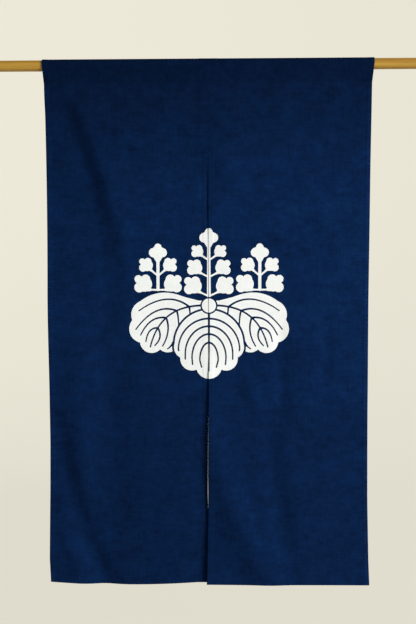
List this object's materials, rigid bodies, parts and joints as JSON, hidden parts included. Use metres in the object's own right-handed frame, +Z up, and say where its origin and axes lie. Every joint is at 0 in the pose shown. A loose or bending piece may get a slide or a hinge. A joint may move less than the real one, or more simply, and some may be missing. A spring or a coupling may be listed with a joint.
{
  "type": "noren curtain on a rod",
  "caption": "Indigo cotton noren with a white floral crest, two widths joined at the top and split below, hung on a round wooden rod.",
  "frame": {"origin": "on the rod's axis at the middle of its length", "axes": "+X along the rod to the viewer's right, -Y out of the curtain's front, +Z up"},
  "size_m": [1.2, 0.0337, 1.3769],
  "materials": {
    "indigo_cotton": "matt plain-weave cotton, dyed indigo, with an undyed white crest",
    "rod_wood": "satin golden-brown wood"
  },
  "bodies": {
    "root": {"panel_left": "indigo_cotton", "panel_right": "indigo_cotton", "rod": "rod_wood"}
  },
  "joints": []
}
